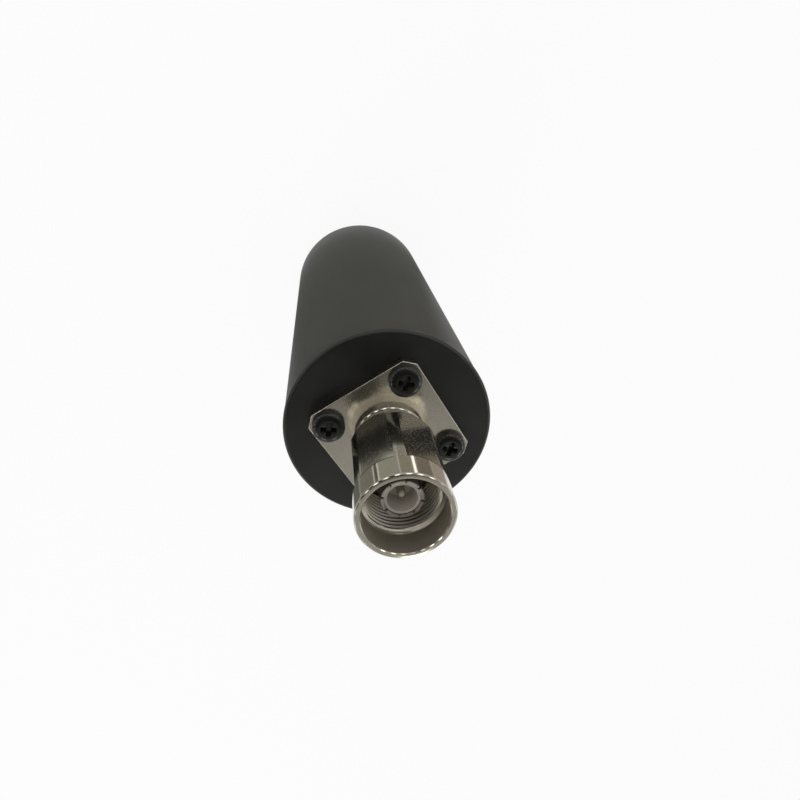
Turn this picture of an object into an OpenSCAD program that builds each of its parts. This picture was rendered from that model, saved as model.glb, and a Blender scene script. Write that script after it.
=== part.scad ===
// Coaxial termination: a finless black cylinder that turns radio power into heat,
// with a flange-mounted male connector whose coupling nut turns on its neck.
// Millimetres. +Z runs along the axis from the closed rear end to the connector.
// The origin is the centre of the flat rear face, on which the part stands.

/* [Body] */
// Outer diameter of the body shell
body_d = 46; // [45:0.5:60]
// Length from the flat rear face to the front face
body_len = 115; // [95:1:160]
// Wall of the shell
shell_wall = 3; // [2.5:0.25:3.5]
// Thickness of the closed rear end
shell_floor = 4; // [3:0.5:8]
// Radius of the rounded rear edge
rear_edge_r = 2; // [0.5:0.25:2.25]

/* [End cap] */
// Thickness of the rim that covers the end of the shell
cap_rim_t = 1.2; // [1:0.1:3]
// How far the rim stands proud of the shell, on the radius
cap_rim_proud = 0.15; // [0:0.05:0.5]
// Radius of the rounded edge of the front face
cap_edge_r = 0.8; // [0.2:0.1:0.9]
// Depth of the plug that goes into the shell
cap_plug_len = 8; // [6:0.5:9]
// Gap between the plug and the shell, on the radius
cap_fit = 0.05; // [0.02:0.01:0.1]

/* [Heat spreader] */
// Gap between the spreader and the shell, on the radius
core_fit = 0.05; // [0.02:0.01:0.1]
// Length of the open bay that holds the resistor
bay_len = 38; // [34:1:60]

/* [Flange] */
// Side of the square flange
flange_side = 27; // [26.5:0.5:28]
// Thickness of the flange
flange_t = 3; // [2:0.25:4]
// Length cut off each side of the flange at its corners
flange_corner = 2.2; // [1:0.1:2.4]
// Distance between neighbouring screw holes
hole_spacing = 19.1; // [18.9:0.1:19.2]
// Diameter of the round shoulder between the flange and the nut
shoulder_d = 15.4; // [14.6:0.1:16.4]
// Height of the shoulder above the flange
shoulder_t = 1.6; // [1.2:0.1:2]
// Chamfer on the edge of the shoulder
shoulder_edge = 0.25; // [0.1:0.05:0.4]

/* [Flange screws] */
// Thread diameter
screw_d = 3.5; // [3:0.25:3.5]
// Length under the head
screw_len = 16; // [15:1:18]
// Head diameter
head_d = 7; // [6:0.25:7.25]
// Head height
head_h = 1.8; // [1.6:0.1:2.8]
// Rounded part of the head, as a share of its height
head_crown = 0.45; // [0.3:0.05:0.8]
// Flat top of the head, as a share of its diameter
head_flat = 0.55; // [0.3:0.05:0.7]
// Span of the cross recess
cross_span = 4.2; // [3.4:0.1:4.4]
// Width of one arm of the cross recess
cross_arm = 1.2; // [0.8:0.1:1.4]
// Depth of the cross recess
cross_depth = 1.3; // [1:0.1:1.5]
// Turn of the cross recess of screw 1, at +X +Y
cross_turn_1 = 30; // [0:1:90]
// Turn of the cross recess of screw 2, at -X +Y
cross_turn_2 = 41; // [0:1:90]
// Turn of the cross recess of screw 3, at -X -Y
cross_turn_3 = 46; // [0:1:90]
// Turn of the cross recess of screw 4, at +X -Y
cross_turn_4 = 54; // [0:1:90]
// Gap between a screw and the hole it passes through, on the radius
hole_fit = 0.15; // [0.1:0.05:0.25]
// Gap between a screw and its tapped hole, both drawn without threads, on the radius
tap_fit = 0.02; // [0.01:0.01:0.05]
// Depth of a tapped hole past the end of its screw
hole_spare = 3; // [1:0.5:4]

/* [Coupling nut] */
// Diameter of the round front collar
nut_d = 18.5; // [18.2:0.1:19]
// Distance across the six spanner flats
nut_flats = 17; // [16.8:0.05:17.5]
// Rest angle of the flats about the axis
nut_turn = 1.3; // [0:0.1:60]
// Length of the round front collar
collar_len = 6; // [5:0.25:8]
// Overall length of the nut
nut_len = 27.2; // [27:0.1:28]
// Gap between the shoulder and the nut
nut_gap = 0.2; // [0.1:0.05:0.4]
// Diameter of the rear end of the nut
nut_tail_d = 14.8; // [14:0.1:16.4]
// Length of the taper from that end to the full diameter
nut_taper_len = 4.9; // [2:0.1:6]
// Chamfer on the outer front edge of the nut
nut_edge = 0.25; // [0.1:0.05:0.4]
// Bore of the smooth skirt in front of the thread
skirt_d = 16.1; // [16:0.05:16.3]
// Depth of the smooth skirt
skirt_len = 5.6; // [5:0.1:5.6]
// Chamfer on the inner front edge of the skirt
skirt_edge = 0.15; // [0.05:0.05:0.3]
// Length of the lead-in cone between the skirt and the thread
lead_in = 0.8; // [0.6:0.1:1.2]
// Bore over the crests of the 5/8-24 thread
thread_bore_d = 14.75; // [14.6:0.05:14.9]
// Length of the threaded bore
thread_len = 10.8; // [10.2:0.2:11.6]

/* [Neck and retaining ring] */
// Diameter of the connector neck that carries the nut
neck_d = 12; // [11.8:0.1:12.2]
// Running clearance of the nut on the neck, on the radius
neck_fit = 0.08; // [0.05:0.01:0.1]
// Distance from the front face of the body to the end of the neck
neck_top = 16; // [15.5:0.25:17]
// Distance from the front face of the body to the middle of the retaining ring
ring_mid = 9.5; // [8.5:0.25:10.5]
// Thickness of the retaining ring
ring_t = 0.9; // [0.7:0.1:1.1]
// Radial width of the retaining ring
ring_w = 0.9; // [0.8:0.05:1]
// Depth of the retaining ring in the groove of the neck
ring_depth = 0.4; // [0.3:0.05:0.5]
// Opening of the split in the retaining ring
ring_split = 2; // [1:0.25:3]
// Clearance of the ring in the groove of the nut
ring_gap = 0.35; // [0.3:0.05:0.4]
// Clearance of the ring in the groove of the neck
groove_fit = 0.05; // [0.02:0.01:0.1]

/* [Outer contact] */
// Outer diameter of the slotted contact sleeve
contact_d = 8.2; // [8.1:0.05:8.3]
// Bore of the contact sleeve
contact_bore = 7; // [6.8:0.05:7.1]
// Distance from the front face of the body to the tip of the sleeve
contact_tip = 26.5; // [26:0.1:26.7]
// Number of slots
slot_count = 8; // [4:1:8]
// Angle of the first slot about the axis
slot_turn = 4.5; // [0:0.5:45]
// Width of a slot
slot_w = 0.35; // [0.25:0.05:0.5]
// Length of a slot
slot_len = 5.5; // [4:0.25:7]
// Diameter of the foot of the sleeve
foot_d = 9.6; // [9.2:0.1:10]
// Depth of the seat in the neck that holds the foot
contact_seat = 3; // [2:0.25:4]
// Gap between the foot and its seat, on the radius
seat_fit = 0.01; // [0.005:0.005:0.02]
// Thickness of the rubber ring round the foot
gasket_t = 1.4; // [1:0.1:1.8]
// How far the rubber ring stands above the foot
gasket_proud = 0.2; // [0.1:0.05:0.4]
// Gap between the rubber ring and the foot, on the radius
gasket_fit = 0.05; // [0.02:0.01:0.1]

/* [Centre contact] */
// Diameter of the pin
pin_d = 1.65; // [1.6:0.01:1.68]
// Distance of the tip of the pin behind the tip of the sleeve
pin_recess = 1.5; // [0.5:0.1:2]
// Length of the rounded nose of the pin
pin_nose = 0.7; // [0.4:0.1:1]
// Distance of the shoulder of the pin behind the tip of the sleeve
shoulder_recess = 5.5; // [5.3:0.1:6]
// Diameter of the inner conductor behind the shoulder
conductor_d = 3.04; // [2.9:0.02:3.1]
// Diameter of the collar between the two insulators
collar_d = 4; // [3.6:0.1:4.4]
// Length of that collar
collar_t = 1.5; // [1:0.1:2]
// Length of the tail behind the front face of the body
tail_len = 15; // [14:0.5:18]
// Length of the slot in the tail
tail_slot = 3; // [2:0.25:4]

/* [Insulators and spigot] */
// Gap round the insulators and the inner conductor, on the radius
insulator_fit = 0.02; // [0.01:0.01:0.05]
// Distance of the front insulator behind the tip of the sleeve
insulator_recess = 0.3; // [0.1:0.1:0.8]
// Bore of the front insulator round the pin
insulator_cup_d = 5.75; // [5.5:0.05:6]
// Length of the spigot behind the flange
spigot_len = 7; // [5:0.5:9]
// Diameter of the spigot
spigot_d = 12; // [11:0.25:13]
// Gap round the spigot, on the radius
spigot_fit = 0.05; // [0.02:0.01:0.1]

/* [Resistor] */
// Length of the mounting flange, across the bay
res_flange_l = 24.8; // [24.6:0.2:26]
// Width of the mounting flange, along the axis
res_flange_w = 9.6; // [9.2:0.2:11]
// Thickness of the mounting flange
res_flange_t = 1.5; // [1:0.1:2]
// Distance between the two mounting screws
res_spacing = 18.4; // [18:0.1:18.8]
// Side of the ceramic substrate
substrate_side = 9; // [8:0.2:9]
// Thickness of the ceramic substrate
substrate_t = 1; // [0.6:0.1:1.5]
// Side of the ceramic lid
lid_side = 7.6; // [7:0.2:8]
// Thickness of the ceramic lid
lid_t = 1.2; // [0.8:0.1:1.6]
// Width of the tab
tab_w = 1.6; // [1.2:0.1:2]
// Thickness of the tab
tab_t = 0.2; // [0.1:0.05:0.3]
// Gap round the tab
tab_fit = 0.03; // [0.02:0.01:0.05]
// Distance from the end of the tail to the flange of the resistor
res_gap = 3; // [2:0.25:5]
// Thread diameter of a resistor screw
res_screw_d = 3; // [2.5:0.25:3]
// Length of a resistor screw under the head
res_screw_len = 8; // [6:1:10]
// Head diameter of a resistor screw
res_head_d = 5.6; // [5:0.1:6]
// Head height of a resistor screw
res_head_h = 2; // [1.8:0.1:2.4]

/* [Hidden] */
$fn = 96;
cut = 0.5;
arc_step = 10;
body_r = body_d / 2;
shell_bore_r = body_r - shell_wall;
shell_end = body_len - cap_rim_t;
plug_r = shell_bore_r - cap_fit;
plug_end = shell_end - cap_plug_len;
cap_len = body_len - plug_end;
rim_r = body_r + cap_rim_proud;
core_r = shell_bore_r - core_fit;
spigot_r = spigot_d / 2;
spigot_end = body_len - spigot_len;
tail_end = body_len - tail_len;
res_base_y = -tab_t / 2 - substrate_t - res_flange_t;
res_top_y = -tab_t / 2 - substrate_t;
substrate_y = -tab_t / 2;
res_mid = tail_end - res_gap - res_flange_w / 2;
res_hole_depth = res_screw_len - res_flange_t + hole_spare;
screw_r = screw_d / 2;
tap_r = screw_r + tap_fit;
screw_reach = screw_len - flange_t;
flange_top = body_len + flange_t;
shoulder_r = shoulder_d / 2;
shoulder_top = flange_top + shoulder_t;
neck_r = neck_d / 2;
neck_end = body_len + neck_top;
ring_z = body_len + ring_mid;
ring_in_r = neck_r - ring_depth;
ring_out_r = ring_in_r + ring_w;
nut_r = nut_d / 2;
nut_rear = shoulder_top + nut_gap;
nut_front = nut_rear + nut_len;
nut_bore_r = neck_r + neck_fit;
groove_half = ring_t / 2 + ring_gap;
skirt_r = skirt_d / 2;
skirt_end = nut_front - skirt_len;
thread_bore_r = thread_bore_d / 2;
thread_front = skirt_end - lead_in;
thread_rear = thread_front - thread_len;
contact_r = contact_d / 2;
contact_bore_r = contact_bore / 2;
contact_end = body_len + contact_tip;
seat_z = neck_end - contact_seat;
foot_r = foot_d / 2;
foot_top = neck_end + gasket_t - gasket_proud;
bead_r = contact_bore_r - insulator_fit;
bead_front = contact_end - insulator_recess;
conductor_r = conductor_d / 2;
conductor_hole_r = conductor_r + insulator_fit;
pin_r = pin_d / 2;
pin_end = contact_end - pin_recess;
shoulder_z = contact_end - shoulder_recess;
screw_angles = [45, 135, 225, 315];

// A solid of revolution about the axis from [radius, height] points
module turned(points) {
    rotate_extrude() polygon(points);
}

// A round tube from z0 to z1
module tube(outer_r, inner_r, z0, z1) {
    turned([[inner_r, z0], [outer_r, z0], [outer_r, z1], [inner_r, z1]]);
}

// The axis of one of the four flange screws
module at_screw(angle) {
    rotate([0, 0, angle])
        translate([hole_spacing / sqrt(2), 0, 0])
            rotate([0, 0, -angle])
                children();
}

// Four straight holes on the axes of the flange screws
module screw_holes(r, z0, z1) {
    for (angle = screw_angles)
        at_screw(angle)
            translate([0, 0, z0])
                cylinder(r = r, h = z1 - z0);
}

// The axis of a resistor screw: side is -1 or 1, and z points out of the mounting flange
module at_resistor_screw(side, y) {
    translate([side * res_spacing / 2, y, res_mid])
        rotate([-90, 0, 0])
            children();
}

// Pan-head screw with a cross recess, head seated at z = 0 and thread pointing down
module pan_screw(thread_d, length, head, height) {
    crown = height * head_crown;
    flat = head_flat * head / 2;
    swell = head / 2 - flat;
    span = cross_span * head / head_d;
    arm = cross_arm * head / head_d;
    recess = cross_depth * height / head_h;
    difference() {
        turned([[0, -length], [thread_d / 2, -length], [thread_d / 2, 0], [head / 2, 0],
                for (a = [0 : arc_step : 90])
                    [flat + swell * cos(a), height - crown + crown * sin(a)],
                [0, height]]);
        for (turn = [0, 90])
            rotate([0, 0, turn])
                translate([-span / 2, -arm / 2, height - recess])
                    cube([span, arm, recess + cut]);
    }
}

// Aluminium cup: the tube and its closed rear end are one piece
module body_shell() {
    color([0.17, 0.17, 0.16])
        turned([[0, 0],
                for (a = [0 : arc_step : 90])
                    [body_r - rear_edge_r * (1 - sin(a)), rear_edge_r * (1 - cos(a))],
                [body_r, shell_end], [shell_bore_r, shell_end],
                [shell_bore_r, shell_floor], [0, shell_floor]]);
}

// Plug with a thin rim over the end of the shell; the connector is screwed to its face
module end_cap() {
    color([0.11, 0.11, 0.11])
        difference() {
            turned([[0, plug_end], [plug_r, plug_end], [plug_r, shell_end], [rim_r, shell_end],
                    for (a = [0 : arc_step : 90])
                        [rim_r - cap_edge_r * (1 - cos(a)), body_len - cap_edge_r * (1 - sin(a))],
                    [0, body_len]]);
            translate([0, 0, plug_end - cut])
                cylinder(r = spigot_r + spigot_fit, h = cap_len + 2 * cut);
            screw_holes(tap_r, plug_end - cut, body_len + cut);
        }
}

// Aluminium bar with a flat-floored bay, held under the cap by two of the flange screws
module heat_spreader() {
    color([0.72, 0.73, 0.74])
        difference() {
            translate([0, 0, shell_floor])
                cylinder(r = core_r, h = plug_end - shell_floor);
            translate([-body_r, res_base_y, plug_end - bay_len])
                cube([body_d, body_d, bay_len + cut]);
            translate([0, 0, spigot_end - cut])
                cylinder(r = spigot_r + spigot_fit, h = spigot_len + cut);
            screw_holes(tap_r, flange_top - screw_len - hole_spare, body_len);
            for (side = [-1, 1])
                at_resistor_screw(side, res_base_y)
                    translate([0, 0, -res_hole_depth])
                        cylinder(r = res_screw_d / 2 + tap_fit, h = res_hole_depth + cut);
        }
}

// Plated copper plate that carries the resistor's heat into the spreader
module resistor_flange() {
    color([0.80, 0.78, 0.72])
        difference() {
            translate([-res_flange_l / 2, res_base_y, res_mid - res_flange_w / 2])
                cube([res_flange_l, res_flange_t, res_flange_w]);
            for (side = [-1, 1])
                at_resistor_screw(side, res_base_y - cut)
                    cylinder(r = res_screw_d / 2 + hole_fit, h = res_flange_t + 2 * cut);
        }
}

// Ceramic chip with the resistive film on its face
module resistor_substrate() {
    color([0.93, 0.93, 0.90])
        translate([-substrate_side / 2, res_top_y, res_mid - substrate_side / 2])
            cube([substrate_side, substrate_t, substrate_side]);
}

// Ceramic cover over the film, with a channel for the tab
module resistor_lid() {
    color([0.96, 0.96, 0.94])
        difference() {
            translate([-lid_side / 2, substrate_y, res_mid - lid_side / 2])
                cube([lid_side, lid_t, lid_side]);
            translate([-tab_w / 2 - tab_fit, substrate_y - cut, res_mid - tab_fit])
                cube([tab_w + 2 * tab_fit, tab_t + tab_fit + cut, lid_side]);
        }
}

// Silvered ribbon from the film into the slot of the centre contact
module resistor_tab() {
    color([0.85, 0.85, 0.84])
        translate([-tab_w / 2, -tab_t / 2, res_mid])
            cube([tab_w, tab_t, tail_end + tail_slot - tab_fit - res_mid]);
}

// One of the two screws that clamp the resistor to the spreader
module resistor_screw(side) {
    color([0.62, 0.62, 0.62])
        at_resistor_screw(side, res_top_y)
            pan_screw(res_screw_d, res_screw_len, res_head_d, res_head_h);
}

// Square with its corners cut: side is the half width, and flat the half length of a side
module flange_outline(side, flat) {
    polygon([[side, -flat], [side, flat], [flat, side], [-flat, side],
             [-side, flat], [-side, -flat], [-flat, -side], [flat, -side]]);
}

// Nickel-plated brass: rear spigot, square flange, shoulder and grooved neck in one piece
module connector_body() {
    groove_r = ring_in_r - groove_fit;
    groove_t = ring_t + 2 * groove_fit;
    color([0.60, 0.58, 0.53])
        difference() {
            union() {
                translate([0, 0, spigot_end])
                    cylinder(r = spigot_r, h = spigot_len + cut);
                translate([0, 0, body_len])
                    linear_extrude(flange_t)
                        flange_outline(flange_side / 2, flange_side / 2 - flange_corner);
                turned([[0, body_len + cut], [shoulder_r, body_len + cut],
                        [shoulder_r, shoulder_top - shoulder_edge],
                        [shoulder_r - shoulder_edge, shoulder_top], [neck_r, shoulder_top],
                        [neck_r, ring_z - groove_t / 2], [groove_r, ring_z - groove_t / 2],
                        [groove_r, ring_z + groove_t / 2], [neck_r, ring_z + groove_t / 2],
                        [neck_r, neck_end], [0, neck_end]]);
            }
            translate([0, 0, spigot_end - cut])
                cylinder(r = contact_bore_r, h = neck_end - spigot_end);
            translate([0, 0, seat_z])
                cylinder(r = foot_r + seat_fit, h = contact_seat + cut);
            screw_holes(screw_r + hole_fit, body_len - cut, flange_top + cut);
        }
}

// One of the four black screws in the corners of the flange
module flange_screw(angle, cross_turn) {
    color([0.06, 0.06, 0.06])
        at_screw(angle)
            translate([0, 0, flange_top])
                rotate([0, 0, cross_turn])
                    pan_screw(screw_d, screw_len, head_d, head_h);
}

// White insulator in the body of the connector, behind the collar
module rear_insulator() {
    color([0.93, 0.92, 0.88])
        tube(bead_r, conductor_hole_r, spigot_end, seat_z);
}

// Turned pin, inner conductor, collar and slotted tail in one piece
module centre_contact() {
    slot_t = tab_t + 2 * tab_fit;
    nose_r = pin_r / 2;
    color([0.68, 0.64, 0.57])
        difference() {
            turned([[0, tail_end], [conductor_r, tail_end], [conductor_r, seat_z],
                    [collar_d / 2, seat_z], [collar_d / 2, seat_z + collar_t],
                    [conductor_r, seat_z + collar_t], [conductor_r, shoulder_z],
                    [pin_r, shoulder_z],
                    for (a = [0 : arc_step : 90])
                        [nose_r + (pin_r - nose_r) * cos(a), pin_end - pin_nose * (1 - sin(a))],
                    [0, pin_end]]);
            translate([-conductor_d, -slot_t / 2, tail_end - cut])
                cube([2 * conductor_d, slot_t, tail_slot + cut]);
        }
}

// White insulator in the sleeve, cupped round the pin
module front_insulator() {
    collar_hole_r = collar_d / 2 + insulator_fit;
    collar_top = seat_z + collar_t + insulator_fit;
    cup_r = insulator_cup_d / 2;
    color([0.93, 0.92, 0.88])
        turned([[collar_hole_r, seat_z], [bead_r, seat_z], [bead_r, bead_front],
                [cup_r, bead_front], [cup_r, shoulder_z], [conductor_hole_r, shoulder_z],
                [conductor_hole_r, collar_top], [collar_hole_r, collar_top]]);
}

// Springy plated sleeve, slotted at its tip and pressed into the neck
module outer_contact() {
    color([0.66, 0.64, 0.58])
        difference() {
            turned([[contact_bore_r, seat_z], [foot_r, seat_z], [foot_r, foot_top],
                    [contact_r, foot_top], [contact_r, contact_end],
                    [contact_bore_r, contact_end]]);
            for (i = [0 : slot_count - 1])
                rotate([0, 0, slot_turn + i * 360 / slot_count])
                    translate([contact_bore_r - cut, -slot_w / 2, contact_end - slot_len])
                        cube([contact_r - contact_bore_r + 2 * cut, slot_w, slot_len + cut]);
        }
}

// Rubber ring that seals the joint with the mating connector
module interface_gasket() {
    color([0.55, 0.53, 0.50])
        tube(neck_r, foot_r + gasket_fit, neck_end, neck_end + gasket_t);
}

// Split spring ring in the grooves of the neck and the nut
module retaining_ring() {
    color([0.55, 0.55, 0.52])
        difference() {
            tube(ring_out_r, ring_in_r, ring_z - ring_t / 2, ring_z + ring_t / 2);
            translate([0, -ring_split / 2, ring_z - ring_t])
                cube([2 * ring_out_r, ring_split, 2 * ring_t]);
        }
}

// Nickel-plated nut: six flats behind a round collar, a thread and a smooth skirt inside
module coupling_nut() {
    flats_top = nut_front - collar_len;
    groove_r = ring_out_r + ring_gap;
    color([0.60, 0.58, 0.53])
        difference() {
            intersection() {
                turned([[0, nut_rear], [nut_tail_d / 2, nut_rear],
                        [nut_r, nut_rear + nut_taper_len], [nut_r, nut_front - nut_edge],
                        [nut_r - nut_edge, nut_front], [0, nut_front]]);
                union() {
                    rotate([0, 0, nut_turn])
                        translate([0, 0, nut_rear - cut])
                            cylinder(d = nut_flats / cos(30), h = nut_len, $fn = 6);
                    translate([0, 0, flats_top])
                        cylinder(r = nut_r + cut, h = collar_len + cut);
                }
            }
            turned([[0, nut_rear - cut], [nut_bore_r, nut_rear - cut],
                    [nut_bore_r, ring_z - groove_half], [groove_r, ring_z - groove_half],
                    [groove_r, ring_z + groove_half], [nut_bore_r, ring_z + groove_half],
                    [nut_bore_r, thread_rear], [thread_bore_r, thread_rear],
                    [thread_bore_r, thread_front], [skirt_r, skirt_end],
                    [skirt_r, nut_front - skirt_edge], [skirt_r + skirt_edge, nut_front],
                    [skirt_r + skirt_edge, nut_front + cut], [0, nut_front + cut]]);
        }
}

body_shell();
end_cap();
heat_spreader();
resistor_flange();
resistor_substrate();
resistor_lid();
resistor_tab();
resistor_screw(-1);  // resistor_screw_1
resistor_screw(1);  // resistor_screw_2
connector_body();
flange_screw(screw_angles[0], cross_turn_1);  // flange_screw_1
flange_screw(screw_angles[1], cross_turn_2);  // flange_screw_2
flange_screw(screw_angles[2], cross_turn_3);  // flange_screw_3
flange_screw(screw_angles[3], cross_turn_4);  // flange_screw_4
rear_insulator();
centre_contact();
front_insulator();
outer_contact();
interface_gasket();
retaining_ring();
coupling_nut();
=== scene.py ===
from math import acos, atan2, ceil, cos, pi, radians, sin
import bmesh
import bpy
from mathutils import Matrix, Vector


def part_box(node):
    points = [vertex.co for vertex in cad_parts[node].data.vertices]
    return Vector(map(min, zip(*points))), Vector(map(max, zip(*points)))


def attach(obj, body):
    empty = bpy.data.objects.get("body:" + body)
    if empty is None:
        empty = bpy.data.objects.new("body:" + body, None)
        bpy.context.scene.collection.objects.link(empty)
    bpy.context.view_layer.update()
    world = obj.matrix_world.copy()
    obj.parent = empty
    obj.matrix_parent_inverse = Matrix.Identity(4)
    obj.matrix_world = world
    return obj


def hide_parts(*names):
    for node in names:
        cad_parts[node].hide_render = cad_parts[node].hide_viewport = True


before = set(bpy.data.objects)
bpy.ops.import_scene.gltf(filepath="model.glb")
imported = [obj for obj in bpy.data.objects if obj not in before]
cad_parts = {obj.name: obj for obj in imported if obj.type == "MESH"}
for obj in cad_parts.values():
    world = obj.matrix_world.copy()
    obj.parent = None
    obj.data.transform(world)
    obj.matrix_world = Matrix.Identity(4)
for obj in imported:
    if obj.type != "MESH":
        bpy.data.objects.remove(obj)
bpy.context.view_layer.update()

# Camera: close over the mouth of the connector and a little to the side of -X and -Y,
# so that the body runs away from it and shows its flank past the edge of the end cap.
# Sizes here are in millimetres, and MM turns them into Blender's metres.
MM = 0.001
camera = bpy.data.objects.new("camera", bpy.data.cameras.new("camera"))
bpy.context.scene.collection.objects.link(camera)
bpy.context.scene.camera = camera
camera.location = Vector((-24.664, -62.585, 232.808)) * MM
camera.rotation_euler = [radians(turn) for turn in (-26.5915, -6.5141, 149.1554)]
camera.data.sensor_width = 36
camera.data.lens = 27.504
camera.data.clip_start = 0.005

# Body shell: an aluminium tube whose rear end is closed and rounded, turned and bored from
# bar, blasted to an even matte skin and black anodised.


class Signal:
    """A node's output in a formula: each operator adds a Math node."""

    def __init__(self, nodes, socket):
        self.nodes = nodes
        self.socket = socket

    def maths(self, operation, first, second):
        return self.nodes.add("Math", {"operation": operation}, {0: first, 1: second})

    def __add__(self, other):
        return self.maths("ADD", self, other)

    def __sub__(self, other):
        return self.maths("SUBTRACT", self, other)

    def __rsub__(self, other):
        return self.maths("SUBTRACT", other, self)

    def __mul__(self, other):
        return self.maths("MULTIPLY", self, other)

    __radd__ = __add__
    __rmul__ = __mul__


class Nodes:
    """The nodes of one material or of the world."""

    def __init__(self, tree):
        self.tree = tree

    def feed(self, node, inputs):
        """Sets a node's inputs, or links them to signals."""
        for name, value in inputs.items():
            if isinstance(value, Signal):
                self.tree.links.new(value.socket, node.inputs[name])
            else:
                node.inputs[name].default_value = value

    def add(self, kind, settings, inputs, output=0):
        """A node of any type: its settings first, then its inputs."""
        node = self.tree.nodes.new("ShaderNode" + kind)
        for name, value in settings.items():
            setattr(node, name, value)
        self.feed(node, inputs)
        return Signal(self, node.outputs[output])

    def blend(self, share, first, second):
        """The first colour where the share is 0, and the second where it is 1."""
        return self.add("Mix", {"data_type": "RGBA"}, {0: share, 6: first, 7: second}, output=2)

    def step(self, value, start, end, low=0.0, high=1.0):
        """A smooth climb from low to high while the value goes from start to end."""
        limits = {"Value": value, "From Min": start, "From Max": end, "To Min": low, "To Max": high}
        return self.add("MapRange", {"interpolation_type": "SMOOTHSTEP"}, limits)


class Finish(Nodes):
    """A material, its shader, and the patterns that its surface takes."""

    def __init__(self, slot, constants, name=None):
        self.slot = slot
        self.material = bpy.data.materials.new(name or slot)
        self.material.use_nodes = True
        super().__init__(self.material.node_tree)
        self.shader = self.tree.nodes["Principled BSDF"]
        self.place = self.add("TexCoord", {}, {}, output="Object")
        self.shade(constants)

    def shade(self, inputs):
        """Sets or links the inputs of the shader itself."""
        self.feed(self.shader, inputs)

    def grain(self, size, detail=2.0):
        """Cloudy noise whose lumps are about this many millimetres across."""
        inputs = {"Vector": self.place, "Scale": 1 / (size * MM), "Detail": detail}
        return self.add("TexNoise", {}, inputs)

    def out(self):
        """Distance from the axis."""
        flat = self.add("VectorMath", {"operation": "MULTIPLY"}, {0: self.place, 1: (1, 1, 0)})
        return self.add("VectorMath", {"operation": "LENGTH"}, {0: flat}, output="Value")

    def along(self, axis):
        """One coordinate of the place: 0 for X, 1 for Y and 2 for the height above the rear face."""
        return self.add("SeparateXYZ", {}, {0: self.place}, output=axis)

    def lathe_marks(self, size):
        """Rings about the axis, as a turning tool leaves them on a face or a cylinder."""
        inputs = {"W": self.along(2) + self.out(), "Scale": 1 / (size * MM)}
        return self.add("TexNoise", {"noise_dimensions": "1D"}, inputs)

    def emboss(self, height, microns):
        """Bump: the height signal spans this many thousandths of a millimetre."""
        bump = self.add("Bump", {}, {"Height": height, "Distance": microns * MM * MM, "Strength": 1.0})
        self.shade({"Normal": bump})


def span(node):
    """A turned CAD node's outer radius, rear and front, in millimetres."""
    low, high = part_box(node)
    return high.x / MM, low.z / MM, high.z / MM


def turned(outline, closed=True, steps=144):
    """Spins an outline of (radius, height) points once round the axis."""
    bm = bmesh.new()
    corners = [bm.verts.new((radius * MM, 0, height * MM)) for radius, height in outline]
    pairs = list(zip(corners, corners[1:]))
    if closed:
        pairs.append((corners[-1], corners[0]))
    edges = [bm.edges.new(pair) for pair in pairs]
    bmesh.ops.spin(bm, geom=corners + edges, cent=(0, 0, 0), axis=(0, 0, 1), angle=2 * pi,
                   steps=steps, use_merge=True)
    merge(bm)
    return bm


def merge(bm):
    """Joins the vertices that coincide, and turns every face outwards."""
    bmesh.ops.remove_doubles(bm, verts=bm.verts, dist=0.0005 * MM)
    bmesh.ops.recalc_face_normals(bm, faces=bm.faces)


def bevel(bm, edges, width, segments):
    """Cuts or rounds the given edges."""
    bmesh.ops.bevel(bm, geom=edges, offset=width * MM, offset_type="OFFSET", segments=segments,
                    profile=0.5, affect="EDGES", material=-1)


def soften(bm, width, corner=30, segments=2, where=lambda edge: True):
    """Rounds the edges that turn by more than the corner angle, in degrees."""
    edges = [edge for edge in bm.edges
             if edge.is_manifold and edge.calc_face_angle() > radians(corner) and where(edge)]
    bevel(bm, edges, width, segments)


def quarter(radius, height, bend, start, steps=8):
    """A quarter circle of (radius, height) points about a centre, from a start angle."""
    turns = [radians(start + 90 * step / steps) for step in range(steps + 1)]
    return [(radius + bend * cos(turn), height + bend * sin(turn)) for turn in turns]


def finished(bm, node, finish, body="housing", crease=35):
    """Makes the mesh a piece of the object, in place of a CAD node."""
    mesh = bpy.data.meshes.new(node + "_piece")
    bm.to_mesh(mesh)
    bm.free()
    mesh.shade_smooth()
    mesh.set_sharp_from_angle(angle=radians(crease))
    mesh.materials.append(finish.material)
    piece = bpy.data.objects.new(node + "_piece", mesh)
    bpy.context.scene.collection.objects.link(piece)
    even = piece.modifiers.new("even shading", "WEIGHTED_NORMAL")
    even.keep_sharp = True
    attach(piece, body)
    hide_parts(node)


shell_r, shell_rear, shell_front = span("body_shell")
shell_bore_r = shell_r - 3
shell_floor = 4
shell_round = 2

anodised = Finish("shell_black", {"Metallic": 0.0})
blast = anodised.grain(0.22)
cloud = anodised.grain(14)
shell_tone = anodised.blend(anodised.step(blast + cloud, 0.8, 1.25),
                            (0.023, 0.023, 0.020, 1), (0.034, 0.034, 0.030, 1))
anodised.shade({"Base Color": shell_tone, "Roughness": 0.46 + 0.1 * cloud})
anodised.emboss(blast, 14)

shell = turned([(0, shell_rear), *quarter(shell_r - shell_round, shell_rear + shell_round,
                                          shell_round, -90),
                (shell_r, shell_front), (shell_bore_r, shell_front),
                (shell_bore_r, shell_floor), (0, shell_floor)], closed=False, steps=180)
soften(shell, 0.12,
       where=lambda edge: min(vert.co.z for vert in edge.verts) > (shell_front - 1) * MM)
finished(shell, "body_shell", anodised)

# Heat spreader: an aluminium bar that fills the shell, with a flat-floored bay milled across
# its front for the resistor. It is left bare, with the marks of the lathe and the cutter.


def dress(node, finish):
    """Gives a CAD node a finish of its own."""
    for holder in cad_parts[node].material_slots:
        holder.material = finish.material


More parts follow.
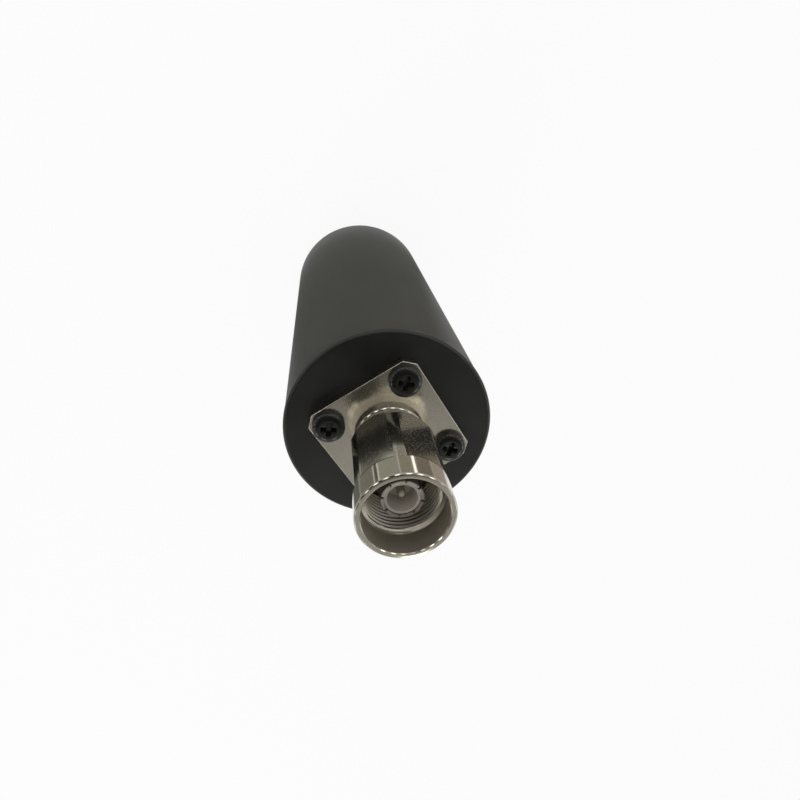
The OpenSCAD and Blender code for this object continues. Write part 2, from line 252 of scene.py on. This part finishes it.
bare = Finish("bare_aluminium", {"Base Color": (0.72, 0.73, 0.74, 1), "Metallic": 1.0})
tool_marks = bare.lathe_marks(0.3)
bare.shade({"Roughness": 0.3 + 0.15 * tool_marks})
bare.emboss(tool_marks, 4)
dress("heat_spreader", bare)

# Resistor: a plated copper flange with a ceramic chip soldered to it and a ceramic lid over
# the film. A silvered ribbon leaves the film, and two zinc-plated screws clamp the flange.
plated = Finish("plated_copper", {"Base Color": (0.70, 0.67, 0.60, 1), "Metallic": 1.0})
plated.shade({"Roughness": 0.28 + 0.2 * plated.grain(0.6)})
dress("resistor_flange", plated)

ceramic = Finish("chip_ceramic", {"Metallic": 0.0})
specks = ceramic.step(ceramic.grain(0.12), 0.5, 0.8)
chip_tone = ceramic.blend(specks, (0.85, 0.85, 0.82, 1), (0.78, 0.78, 0.75, 1))
ceramic.shade({"Base Color": chip_tone, "Roughness": 0.55 + 0.1 * specks})
dress("resistor_substrate", ceramic)
dress("resistor_lid", ceramic)

ribbon = Finish("silver_ribbon", {"Base Color": (0.80, 0.80, 0.78, 1), "Metallic": 1.0})
ribbon.shade({"Roughness": 0.22 + 0.15 * ribbon.grain(0.3)})
dress("resistor_tab", ribbon)

zinc = Finish("zinc_steel", {"Base Color": (0.60, 0.60, 0.60, 1), "Metallic": 1.0})
zinc.shade({"Roughness": 0.25 + 0.2 * zinc.grain(0.4)})
dress("resistor_screw_1", zinc)
dress("resistor_screw_2", zinc)

# End cap: an aluminium plug with a thin rim over the end of the shell, turned, rounded and
# black anodised. The screws of the connector go into four tapped holes in its face.


def carve(bm, cutter):
    """Takes the cutter's shape out of a mesh, as a drill or a mill would."""
    holders = []
    for shape in (bm, cutter):
        mesh = bpy.data.meshes.new("carving")
        shape.to_mesh(mesh)
        shape.free()
        holders.append(bpy.data.objects.new("carving", mesh))
        bpy.context.scene.collection.objects.link(holders[-1])
    part, tool = holders
    cut = part.modifiers.new("cut", "BOOLEAN")
    cut.operation = "DIFFERENCE"
    cut.solver = "EXACT"
    cut.object = tool
    left = part.evaluated_get(bpy.context.evaluated_depsgraph_get())
    result = bmesh.new()
    result.from_mesh(left.to_mesh())
    left.to_mesh_clear()
    for holder in holders:
        mesh = holder.data
        bpy.data.objects.remove(holder)
        bpy.data.meshes.remove(mesh)
    merge(result)
    return result


def drills(places, radius, rear, front, steps=48):
    """Upright cylinders at the given places, to carve holes with."""
    bm = bmesh.new()
    for x, y in places:
        middle = Matrix.Translation(Vector((x, y, (rear + front) / 2)) * MM)
        bmesh.ops.create_cone(bm, cap_ends=True, segments=steps, radius1=radius * MM,
                              radius2=radius * MM, depth=(front - rear) * MM, matrix=middle)
    return bm


rim_r, plug_rear, cap_front = span("end_cap")
plug_play = 0.05
plug_r = shell_bore_r - plug_play
cap_round = 0.8
spigot_r = 6
spigot_hole_r = spigot_r + plug_play
screw_offset = 19.1 / 2
screw_r = 1.75
tap_play = 0.02
overshoot = 1
screw_places = [(screw_offset * x, screw_offset * y)
                for x, y in ((1, 1), (-1, 1), (-1, -1), (1, -1))]

# Painted shade: the cap's black anodising is given about a quarter of the shell's tone, for the shade
# on its up-facing face and rim.
anodised_cap = Finish("cap_black", {"Metallic": 0.0})
cap_blast = anodised_cap.grain(0.2)
cap_cloud = anodised_cap.grain(9)
shaded_cap_tone = anodised_cap.blend(anodised_cap.step(cap_blast + cap_cloud, 0.8, 1.25),
                              (0.005, 0.005, 0.0045, 1), (0.010, 0.010, 0.009, 1))
anodised_cap.shade({"Base Color": shaded_cap_tone, "Roughness": 0.3 + 0.1 * cap_cloud})
anodised_cap.emboss(cap_blast, 10)

cap = turned([(spigot_hole_r, plug_rear), (plug_r, plug_rear), (plug_r, shell_front),
              (rim_r, shell_front), *quarter(rim_r - cap_round, cap_front - cap_round, cap_round, 0),
              (spigot_hole_r, cap_front)], steps=180)
cap = carve(cap, drills(screw_places, screw_r + tap_play, plug_rear - overshoot,
                        cap_front + overshoot))
soften(cap, 0.07, corner=40,
       where=lambda edge: all(vert.co.xy.length > (rim_r - cap_round) * MM for vert in edge.verts))
finished(cap, "end_cap", anodised_cap)

# Connector body: a rear spigot, a square flange, a round shoulder and a grooved neck, turned and
# milled from one piece of brass, polished and nickel-plated. Four screws hold it to the end cap.


def plate(finish, roughness, depth, pitting=0.0, darkening=0.0):
    """Nickel over brass, with faint turning marks and fine pits in the plating; the darkening share
    blends the colour towards dark brown, which the nut uses for painted shade.
    """
    pits = finish.step(finish.grain(0.14, detail=4), 0.62, 0.74)
    haze = finish.grain(3.5)
    clean = finish.blend(haze, (0.51, 0.48, 0.415, 1), (0.58, 0.55, 0.48, 1))
    # Dark brown where the darkening share is set: on the nut it is painted shade at the step to the
    # flats, and a darker lead-in cone.
    tone = finish.blend(darkening, clean, (0.06, 0.05, 0.04, 1))
    finish.shade({"Base Color": tone, "Roughness": roughness + 0.05 * haze + 0.4 * pits})
    finish.emboss(finish.lathe_marks(0.4) + 0.5 * finish.grain(0.5) + pitting * pits, depth)


def block(sides, middle):
    """A box with the given sides about a middle point."""
    bm = bmesh.new()
    shape = Matrix.Translation(Vector(middle) * MM) @ Matrix.Diagonal((*sides, 1))
    bmesh.ops.create_cube(bm, size=MM, matrix=shape)
    return bm


def add_mesh(bm, other):
    """Joins another mesh into this one."""
    mesh = bpy.data.meshes.new("joining")
    other.to_mesh(mesh)
    other.free()
    bm.from_mesh(mesh)
    bpy.data.meshes.remove(mesh)


half_side, spigot_rear, neck_front = span("connector_body")
flange_side = 2 * half_side
flange_t = 3
flange_corner = 2.2
flange_front = cap_front + flange_t
neck_r = 6
groove_middle = cap_front + 9.5
groove_r = neck_r - 0.45
groove_half = 0.5
seat = neck_front - 3
foot_r = 4.8
foot_hole_r = foot_r + 0.01
bore_r = 3.5
shoulder_r = 7.7
shoulder_front = flange_front + 1.6
shoulder_edge = 0.25
shoulder_rear = flange_front - 0.5
clearance = 0.15

nickel = Finish("nickel_plate", {"Metallic": 1.0})
on_shoulder = nickel.step(nickel.out(), (shoulder_r + 0.4) * MM, (shoulder_r + 0.1) * MM)
plate(nickel, 0.18 - 0.1 * on_shoulder, 0.8, pitting=1.0)
flange = block((flange_side, flange_side, flange_t), (0, 0, cap_front + flange_t / 2))
uprights = [edge for edge in flange.edges if abs(edge.verts[0].co.z - edge.verts[1].co.z) > MM]
bevel(flange, uprights, flange_corner, 1)
soften(flange, 0.2, segments=3)
for places, radius, steps in (([(0, 0)], spigot_r - 0.2, 144),
                              (screw_places, screw_r + clearance, 48)):
    flange = carve(flange, drills(places, radius, cap_front - overshoot, flange_front + overshoot,
                                  steps))
neck = turned([(bore_r, spigot_rear), (spigot_r, spigot_rear), (spigot_r, shoulder_rear),
               (shoulder_r, shoulder_rear), (shoulder_r, shoulder_front - shoulder_edge),
               (shoulder_r - shoulder_edge, shoulder_front), (neck_r, shoulder_front),
               (neck_r, groove_middle - groove_half),
               (groove_r, groove_middle - groove_half), (groove_r, groove_middle + groove_half),
               (neck_r, groove_middle + groove_half), (neck_r, neck_front),
               (foot_hole_r, neck_front), (foot_hole_r, seat), (bore_r, seat)])
soften(neck, 0.05)
add_mesh(flange, neck)
finished(flange, "connector_body", nickel)

# Flange screws: four M3.5 pan heads of black oxide steel with cross recesses, driven through
# the flange into the end cap and the heat spreader.


def helix(one_turn, pitch, rear, front, trim, steps):
    """A right-handed thread: one turn's outline as (radius, share of the pitch), trimmed."""
    bm = bmesh.new()
    start = rear - pitch
    turns = ceil((front - start) / pitch) + 1
    line = [bm.verts.new((radius * MM, 0, (start + (turn + share) * pitch) * MM))
            for turn in range(turns) for radius, share in one_turn]
    edges = [bm.edges.new(pair) for pair in zip(line, line[1:])]
    bmesh.ops.spin(bm, geom=line + edges, cent=(0, 0, 0), axis=(0, 0, 1), angle=2 * pi,
                   steps=steps, dvec=(0, 0, pitch * MM / steps))
    for vert in bm.verts:
        rise = min(max(vert.co.z / MM, rear), front)
        out = vert.co.xy.length / MM
        scale = trim(out, rise) / out
        vert.co = (vert.co.x * scale, vert.co.y * scale, rise * MM)
    bmesh.ops.remove_doubles(bm, verts=bm.verts, dist=0.0005 * MM)
    return bm


def screw_trim(out, rise):
    """The tip of a screw narrows to the root of its thread, and so does its end at the head."""
    return min(out, screw_root + max(0, min(rise + screw_len, -rise)))


head_r = 3.5
head_h = 1.8
head_crown = head_h * 0.45
head_flat = head_r * 0.55
screw_len = 16
screw_root = 1.38
screw_pitch = 0.6
cross_span = 4.2
cross_arm = 1.2
cross_depth = 1.3
cross_turns = (30, 41, 46, 54)

black_oxide = Finish("black_steel", {"Metallic": 0.0})
soot = black_oxide.grain(0.5, detail=4)
screw_tone = black_oxide.blend(soot, (0.003, 0.003, 0.003, 1), (0.008, 0.008, 0.007, 1))
black_oxide.shade({"Base Color": screw_tone, "Roughness": 0.13 + 0.12 * soot})
black_oxide.emboss(black_oxide.grain(0.25), 4)

for number, (place, cross_turn) in enumerate(zip(screw_places, cross_turns), 1):
    crown = [(head_flat + (head_r - head_flat) * cos(turn), head_h - head_crown * (1 - sin(turn)))
             for turn in (radians(9 * step) for step in range(11))]
    screw = turned([(screw_root, 0), (head_r, 0), *crown, (0, head_h)], closed=False, steps=72)
    add_mesh(screw, turned([(0, -screw_len), (screw_root, -screw_len)], closed=False, steps=72))
    ridge = [(screw_r, 0), (screw_r, 0.125), (screw_root, 0.5), (screw_root, 0.625)]
    add_mesh(screw, helix(ridge, screw_pitch, -screw_len, 0, screw_trim, steps=72))
    merge(screw)
    for turn in (0, 90):
        arm = block((cross_span, cross_arm, cross_depth + overshoot),
                    (0, 0, head_h + (overshoot - cross_depth) / 2))
        floor_verts = [vert for vert in arm.verts if vert.co.z < head_h * MM]
        bmesh.ops.scale(arm, verts=floor_verts, vec=(0.6, 0.75, 1))
        bmesh.ops.rotate(arm, verts=arm.verts, cent=(0, 0, 0),
                         matrix=Matrix.Rotation(radians(cross_turn + turn), 3, "Z"))
        screw = carve(screw, arm)
    soften(screw, 0.06, corner=50,
           where=lambda edge: min(vert.co.z for vert in edge.verts) > (head_h - head_crown) * MM)
    bmesh.ops.translate(screw, verts=screw.verts, vec=Vector((*place, flange_front)) * MM)
    finished(screw, "flange_screw_%d" % number, black_oxide)

# Insulators: two beads of white plastic, turned, one in the connector body behind the collar of
# the centre contact and one in the sleeve, cupped round the pin.
bead_play = 0.02
bead_r = bore_r - bead_play
conductor_r = 1.52
conductor_hole_r = conductor_r + bead_play
cup_r = 2.875
bead_front = span("front_insulator")[2]
collar_r = 2
collar_t = 1.5
collar_hole_r = collar_r + bead_play
collar_hole_front = seat + collar_t + bead_play
pin_shoulder = span("centre_contact")[2] - 4

insulator = Finish("white_insulator", {"Metallic": 0.0, "IOR": 1.38})
wax = insulator.grain(1.2)
# Painted shade: the white plastic is given a mid beige tone, for the shade deep in the mouth of the
# connector.
bead_tone = insulator.blend(wax, (0.46, 0.42, 0.37, 1), (0.52, 0.475, 0.42, 1))
# Painted shade: the front face of the bead is darker still than its cup.
painted_front_shade = insulator.step(insulator.along(2), (bead_front - 0.4) * MM, (bead_front - 0.1) * MM)
bead_tone = insulator.blend(painted_front_shade, bead_tone, (0.37, 0.335, 0.30, 1))
insulator.shade({"Base Color": bead_tone, "Roughness": 0.38 + 0.12 * wax})
insulator.emboss(insulator.lathe_marks(0.2), 5)
dress("rear_insulator", insulator)

bead = turned([(collar_hole_r, seat), (bead_r, seat), (bead_r, bead_front), (cup_r, bead_front),
               (cup_r, pin_shoulder), (conductor_hole_r, pin_shoulder),
               (conductor_hole_r, collar_hole_front), (collar_hole_r, collar_hole_front)], steps=96)
soften(bead, 0.1)
finished(bead, "front_insulator", insulator)

# Centre contact: the pin, its conductor, a collar between the insulators and a slotted tail for
# the ribbon, turned from one brass rod and plated a pale warm grey.
pin_rear, pin_front = span("centre_contact")[1:]
pin_r = 0.825
pin_nose = 0.7
tail_slot_w = 0.26
tail_slot = 3

pale = Finish("pin_plate", {"Metallic": 1.0})
pin_marks = pale.lathe_marks(0.2)
pin_tone = pale.blend(pale.grain(2), (0.60, 0.55, 0.48, 1), (0.54, 0.50, 0.43, 1))
pale.shade({"Base Color": pin_tone, "Roughness": 0.3 + 0.1 * pin_marks})
pale.emboss(pin_marks, 2)

nose = [(pin_r / 2 + pin_r / 2 * cos(turn), pin_front - pin_nose * (1 - sin(turn)))
        for turn in (radians(15 * step) for step in range(7))]
pin = turned([(0, pin_rear), (conductor_r, pin_rear), (conductor_r, seat), (collar_r, seat),
              (collar_r, seat + collar_t), (conductor_r, seat + collar_t), (conductor_r, pin_shoulder),
              (pin_r, pin_shoulder), *nose, (0, pin_front)], closed=False, steps=64)
pin = carve(pin, block((3 * collar_r, tail_slot_w, tail_slot + overshoot),
                       (0, 0, pin_rear + (tail_slot - overshoot) / 2)))
soften(pin, 0.06, corner=50)
finished(pin, "centre_contact", pale)

# Outer contact: a springy plated sleeve with a foot pressed into the neck, slit at its tip into
# fingers that grip the mating connector.
contact_r = 4.1
contact_front = span("outer_contact")[2]
foot_front = neck_front + 1.2
slit_w = 0.35
slit_len = 5.5
slit_turn = 4.5

satin = Finish("contact_plate", {"Metallic": 1.0})
contact_marks = satin.lathe_marks(0.12)
sleeve_tone = satin.blend(satin.grain(1.5), (0.48, 0.44, 0.40, 1), (0.42, 0.39, 0.355, 1))
satin.shade({"Base Color": sleeve_tone, "Roughness": 0.34 + 0.16 * contact_marks})
satin.emboss(contact_marks, 3)

sleeve = turned([(bore_r, seat), (foot_r, seat), (foot_r, foot_front), (contact_r, foot_front),
                 (contact_r, contact_front), (bore_r, contact_front)], steps=128)
for cut in range(4):
    slit = block((3 * contact_r, slit_w, slit_len + overshoot),
                 (0, 0, contact_front + (overshoot - slit_len) / 2))
    bmesh.ops.rotate(slit, verts=slit.verts, cent=(0, 0, 0),
                     matrix=Matrix.Rotation(radians(slit_turn + 45 * cut), 3, "Z"))
    sleeve = carve(sleeve, slit)
soften(sleeve, 0.07, corner=50)
finished(sleeve, "outer_contact", satin)

# Interface gasket: a moulded ring of pale grey silicone rubber round the foot of the sleeve,
# against which the mating connector seals.
gasket_r = 6
gasket_hole_r = foot_r + 0.05
gasket_front = neck_front + 1.4

rubber = Finish("seal_rubber", {"Metallic": 0.0})
dust = rubber.grain(0.3, detail=4)
rubber_tone = rubber.blend(dust, (0.22, 0.20, 0.175, 1), (0.30, 0.28, 0.245, 1))
rubber.shade({"Base Color": rubber_tone, "Roughness": 0.6 + 0.2 * dust})
rubber.emboss(dust, 8)

gasket = turned([(gasket_hole_r, neck_front), (gasket_r, neck_front),
                 (gasket_r, gasket_front), (gasket_hole_r, gasket_front)], steps=96)
soften(gasket, 0.2, segments=3)
finished(gasket, "interface_gasket", rubber)

# Retaining ring: a split ring of spring steel in the grooves of the neck and the nut, which
# holds the nut on the neck and lets it turn.
spring = Finish("spring_steel", {"Base Color": (0.50, 0.50, 0.48, 1), "Metallic": 1.0})
spring.shade({"Roughness": 0.3 + 0.2 * spring.grain(0.5)})
dress("retaining_ring", spring)

# Coupling nut: turned from brass bar, with six spanner flats milled behind a round collar, a
# thread cut inside behind a smooth skirt, then polished and nickel-plated.
nut_r, nut_rear, nut_front = span("coupling_nut")
flat_r = 8.5
collar_len = 6
flats_front = nut_front - collar_len
flats_turn = radians(1.3)
tail_r = 7.4
taper_len = 4.9
nut_edge = 0.25
nut_bore_r = neck_r + 0.08
ring_groove_r = 6.85
ring_groove_half = 0.8
skirt_r = 8.05
skirt_edge = 0.15
skirt_len = 5.6
skirt_rear = nut_front - skirt_len
lead_len = 0.8
lead_rear = skirt_rear - lead_len
thread_r = 7.375
thread_root = 7.94
thread_pitch = 25.4 / 24
thread_len = 10.8
thread_rear = lead_rear - thread_len
relief_len = 0.5
nut_steps = 144
sixth = radians(60)
ledge = 0.01
edge_turn = sixth / 2 - acos(flat_r / nut_r)


def mill_flats(vert):
    """Moves a vertex of the nut's skin on to the six flats behind the collar."""
    out = vert.co.xy.length / MM
    rise = vert.co.z / MM
    turn = atan2(vert.co.y, vert.co.x)
    within = (turn - flats_turn) % sixth
    for edge in (edge_turn, sixth - edge_turn):
        if abs(within - edge) < pi / nut_steps:
            turn += edge - within
            within = edge
    if out > nut_r - ledge and rise < flats_front + ledge / 2:
        out = min(nut_r, flat_r / cos(within - sixth / 2))
    if out > tail_r + ledge and rise < nut_rear + taper_len + ledge:
        rise = nut_rear + (out - tail_r) * taper_len / (nut_r - tail_r)
    if abs(rise - flats_front) < 2 * ledge:
        rise = flats_front
    vert.co = (out * MM * cos(turn), out * MM * sin(turn), rise * MM)


nut = turned([(nut_bore_r, nut_rear), (tail_r, nut_rear), (nut_r, nut_rear + taper_len),
              (nut_r, flats_front), (nut_r, flats_front + ledge), (nut_r, nut_front - nut_edge),
              (nut_r - nut_edge, nut_front), (skirt_r + skirt_edge, nut_front),
              (skirt_r, nut_front - skirt_edge), (skirt_r, skirt_rear)],
             closed=False, steps=nut_steps)
for vert in nut.verts:
    mill_flats(vert)
ring_groove_front = groove_middle + ring_groove_half
ring_groove_rear = groove_middle - ring_groove_half
add_mesh(nut, turned([(thread_root, thread_rear), (nut_bore_r, thread_rear),
                      (nut_bore_r, ring_groove_front), (ring_groove_r, ring_groove_front),
                      (ring_groove_r, ring_groove_rear), (nut_bore_r, ring_groove_rear),
                      (nut_bore_r, nut_rear)], closed=False, steps=nut_steps))
flank = thread_root - thread_r
one_turn = [(thread_r, 0), (thread_r, 0.125), (thread_r, 0.25), (thread_r + flank / 3, 0.354),
            (thread_r + 2 * flank / 3, 0.458), (thread_root, 0.5625), (thread_root, 0.6875),
            (thread_r + 2 * flank / 3, 0.79), (thread_r + flank / 3, 0.896)]


def trim_thread(out, rise):
    """The thread runs out into a relief at the rear and into the lead-in cone at the front."""
    cone = thread_r + (skirt_r - thread_r) * (rise - lead_rear) / (skirt_rear - lead_rear)
    relief = thread_root - max(0, rise - thread_rear - relief_len)
    return max(out, cone, relief)


add_mesh(nut, helix(one_turn, thread_pitch, thread_rear, skirt_rear, trim_thread, nut_steps))
merge(nut)


def on_skin(vert):
    """Whether a vertex is on the outside of the nut or on the rear edge of its tail."""
    out = vert.co.xy.length / MM
    return out > flat_r - 0.2 or (out > tail_r - 0.05 and vert.co.z / MM < nut_rear + 0.05)


soften(nut, 0.06, corner=12, where=lambda edge: all(on_skin(vert) for vert in edge.verts))

bright = Finish("nickel_plate", {"Metallic": 1.0}, name="bright_nickel")
height = bright.along(2)
behind_rim = bright.step(height, (nut_front - 0.1) * MM, (nut_front - 0.16) * MM)
in_bore = bright.step(bright.out(), (skirt_r + 2 * skirt_edge) * MM, (skirt_r + skirt_edge) * MM)
in_bore = in_bore * behind_rim
in_thread = in_bore * bright.step(height, lead_rear * MM, (lead_rear - 0.1) * MM)
in_skirt = in_bore * bright.step(height, (skirt_rear - 0.1) * MM, (skirt_rear + 0.1) * MM)
behind_collar = bright.step(height, flats_front * MM, (flats_front - 0.1) * MM)
below_skin = bright.step(bright.out(), (nut_r - 0.01) * MM, (nut_r - 0.09) * MM)
on_flats = (1 - in_bore) * behind_collar * below_skin
bearing = bright.add("Math", {"operation": "ARCTAN2"}, {0: bright.along(1), 1: bright.along(0)})
corner = bright.add("Math", {"operation": "COSINE"}, {0: 6 * (bearing - flats_turn)})
# Painted shade: a thin dark line on the collar just in front of the step to the flats, for the shadow
# in that corner, left off at the corners of the flats and in the bore.
painted_step_shade = bright.step(height, (flats_front + 0.3) * MM, (flats_front + 0.2) * MM) * (1 - behind_collar)
painted_step_shade = painted_step_shade * bright.step(corner, 0.8, 0.6) * (1 - in_bore)
worn = on_flats * bright.step(bright.along(0), -1 * MM, -4 * MM)
spots = worn * bright.step(bright.grain(0.26, detail=3), 0.61, 0.67)
# The lead-in cone between the thread and the skirt is also blended a little towards dark brown.
on_lead = in_bore * (1 - in_thread) * (1 - in_skirt)
dullness = 0.08 + 0.05 * on_flats + 0.45 * spots + 0.22 * in_bore + 0.26 * in_skirt
plate(bright, dullness, 1.0, pitting=2 * on_flats + 4 * on_lead, darkening=0.9 * painted_step_shade + 0.3 * on_lead)
finished(nut, "coupling_nut", bright, body="coupling")

# Studio: a pale floor and a white backdrop with a row of tall windows and a grey ceiling over
# it, two large soft lamps, and grey and bright cards on the floor that only gloss mirrors.


def seen_white(nodes):
    """One for rays that show the surroundings: from the camera, gloss and glass."""
    seen = [nodes.add("LightPath", {}, {}, output="Is %s Ray" % kind)
            for kind in ("Camera", "Glossy", "Transmission")]
    return seen[0] + seen[1] + seen[2]


def studio_piece(bm, name):
    """A stage object with an empty material, whose nodes are returned."""
    mesh = bpy.data.meshes.new(name)
    bm.to_mesh(mesh)
    bm.free()
    piece = bpy.data.objects.new(name, mesh)
    bpy.context.scene.collection.objects.link(piece)
    material = bpy.data.materials.new(name)
    material.use_nodes = True
    material.node_tree.nodes.remove(material.node_tree.nodes["Principled BSDF"])
    mesh.materials.append(material)
    return piece, Nodes(material.node_tree)


def coat(nodes, shader):
    """Makes a shader the surface of a material."""
    nodes.feed(nodes.tree.nodes["Material Output"], {"Surface": shader})


plane = bmesh.new()
bmesh.ops.create_grid(plane, x_segments=1, y_segments=1, size=3)
paint = studio_piece(plane, "pale_floor")[1]
paper = paint.add("BsdfDiffuse", {}, {"Color": (0.8, 0.8, 0.79, 1)})
white = paint.add("Emission", {}, {"Color": (1, 1, 1, 1), "Strength": 1.0})
share = paint.add("Math", {"operation": "MULTIPLY", "use_clamp": True}, {0: seen_white(paint), 1: 0.9})
coat(paint, paint.add("MixShader", {}, {0: share, 1: paper, 2: white}))

# Each card: its inner and outer radius, its first and last bearing in degrees, and its tone.
cards = [(28, 44, 165, 348, (0.32, 0.32, 0.29)), (45, 66, 165, 348, (0.22, 0.22, 0.20)),
         (67, 91, 165, 348, (0.16, 0.16, 0.14)), (92, 240, 122, 164, (0.42, 0.38, 0.32)),
         (92, 240, 165, 204, (0.24, 0.21, 0.17)), (92, 240, 205, 210, (2.2, 2.2, 2.2)),
         (92, 240, 211, 241, (0.34, 0.32, 0.27)), (92, 240, 242, 290, (0.38, 0.39, 0.34)),
         (92, 240, 290.5, 291.5, (1.6, 1.6, 1.5)), (92, 240, 292, 301.5, (0.12, 0.12, 0.10)),
         (92, 240, 302, 303, (1.2, 1.2, 1.1)), (92, 240, 303.5, 348, (0.24, 0.24, 0.20)),
         (92, 240, 349, 385, (0.16, 0.16, 0.14))]
card_height = 0.5
for number, (near, far, start, stop, tone) in enumerate(cards):
    sheet = bmesh.new()
    ends = [sheet.verts.new((radius * MM, 0, card_height * MM)) for radius in (near, far)]
    bmesh.ops.rotate(sheet, verts=ends, cent=(0, 0, 0), matrix=Matrix.Rotation(radians(start), 3, "Z"))
    bmesh.ops.spin(sheet, geom=ends + [sheet.edges.new(ends)], cent=(0, 0, 0), axis=(0, 0, 1),
                   angle=radians(stop - start), steps=24)
    card, surface = studio_piece(sheet, "card_%d" % number)
    coat(surface, surface.add("Emission", {}, {"Color": (*tone, 1), "Strength": 1.0}))
    for kind in ("camera", "diffuse", "transmission", "shadow", "volume_scatter"):
        setattr(card, "visible_" + kind, False)

world = bpy.data.worlds.new("studio")
bpy.context.scene.world = world
world.use_nodes = True
sky = Nodes(world.node_tree)
aim = sky.add("TexCoord", {}, {}, output="Generated")
east, north, lift = [sky.add("SeparateXYZ", {}, {0: aim}, output=part) for part in range(3)]
azimuth = sky.add("Math", {"operation": "ARCTAN2"}, {0: north, 1: east})
window_count = 16
window_turn = radians(24)
panes = sky.add("Math", {"operation": "COSINE"}, {0: window_count * azimuth - window_turn})
windows = sky.step(panes, 0.2, 0.5) * sky.step(lift, 0.42, 0.48) * sky.step(lift, 0.68, 0.6)
ahead = sky.add("VectorMath", {"operation": "DOT_PRODUCT"}, {0: aim, 1: (0.37, 0.93, 0)},
                output="Value")
ceiling = sky.step(ahead, 0.34, 0.53, 0.07, 0.45)
ceiling = ceiling + 0.4 * sky.step(ahead, -0.34, -0.44) * sky.step(lift, 0.84, 0.9)
ceiling = ceiling + 0.35 * sky.step(east, -0.3, -0.45)
backdrop = sky.step(lift, 0.2, 0.1)
mirrored = backdrop + (1 - backdrop) * ceiling + 3.6 * windows
from_camera = sky.add("LightPath", {}, {}, output="Is Camera Ray")
shown = sky.add("Math", {"operation": "MAXIMUM"}, {0: mirrored, 1: from_camera})
seen = seen_white(sky)
level = seen * shown + (1 - seen) * 0.7
in_gloss = sky.add("LightPath", {}, {}, output="Is Glossy Ray")
tint = sky.blend(in_gloss, (1, 1, 1, 1), (1, 0.99, 0.93, 1))
sky.feed(sky.tree.nodes["Background"], {"Color": tint, "Strength": level})


def lamp(name, place, size, power):
    """A square soft lamp that points at the middle of the object."""
    light = bpy.data.lights.new(name, "AREA")
    light.size = size
    light.energy = power
    holder = bpy.data.objects.new(name, light)
    holder.location = place
    holder.rotation_euler = (Vector((0, 0, 0.1)) - Vector(place)).to_track_quat("-Z", "Y").to_euler()
    holder.visible_glossy = False
    bpy.context.scene.collection.objects.link(holder)


lamp("key", (-0.3, -0.8, 0.5), 0.6, 3.0)
lamp("rim", (0.6, 0.3, 0.5), 0.5, 1.5)

bpy.context.scene.view_settings.view_transform = "Standard"
